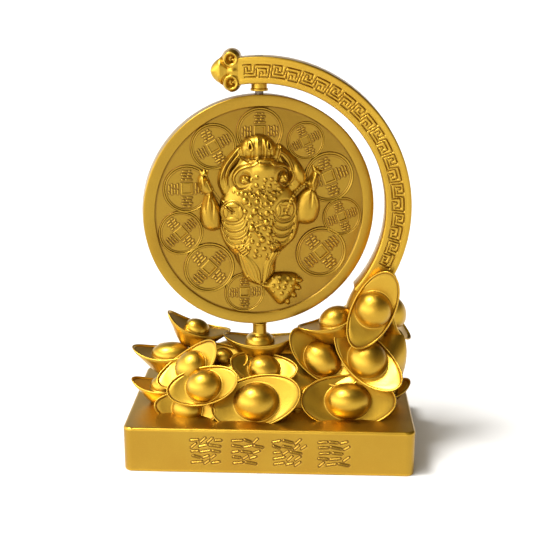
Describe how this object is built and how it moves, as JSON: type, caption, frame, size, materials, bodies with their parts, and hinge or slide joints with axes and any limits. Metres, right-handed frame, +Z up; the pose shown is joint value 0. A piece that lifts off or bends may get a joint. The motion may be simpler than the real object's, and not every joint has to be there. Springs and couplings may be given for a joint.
{
  "type": "turning disc ornament with a money toad relief",
  "caption": "Gold desk ornament: a relief disc with a three-legged money toad and coins, turning upright between a curved arm and a heap of boat ingots on an oblong plinth.",
  "frame": {"origin": "centre of the plinth's underside", "axes": "+Z up along the disc's turning axis, -Y to the front, where the plinth's inscription side and the toad face, +X to the arm's side"},
  "size_m": [0.1299, 0.074, 0.1811],
  "materials": {
    "gold_paint": "satin antique-gold metallic paint over cast resin",
    "gold_paint_disc": "satin antique-gold metallic paint over cast resin",
    "pin_steel": "plain steel, slightly dark"
  },
  "bodies": {
    "base": {"cast_base": "gold_paint", "top_pin": "pin_steel"},
    "disc": {"medallion": "gold_paint_disc"}
  },
  "joints": [
    {"name": "disc_spin", "type": "hinge", "parent": "base", "child": "disc", "pos_m": [-0.0055, 0, 0.11], "axis": [0, 0, 1], "continuous": true}
  ]
}
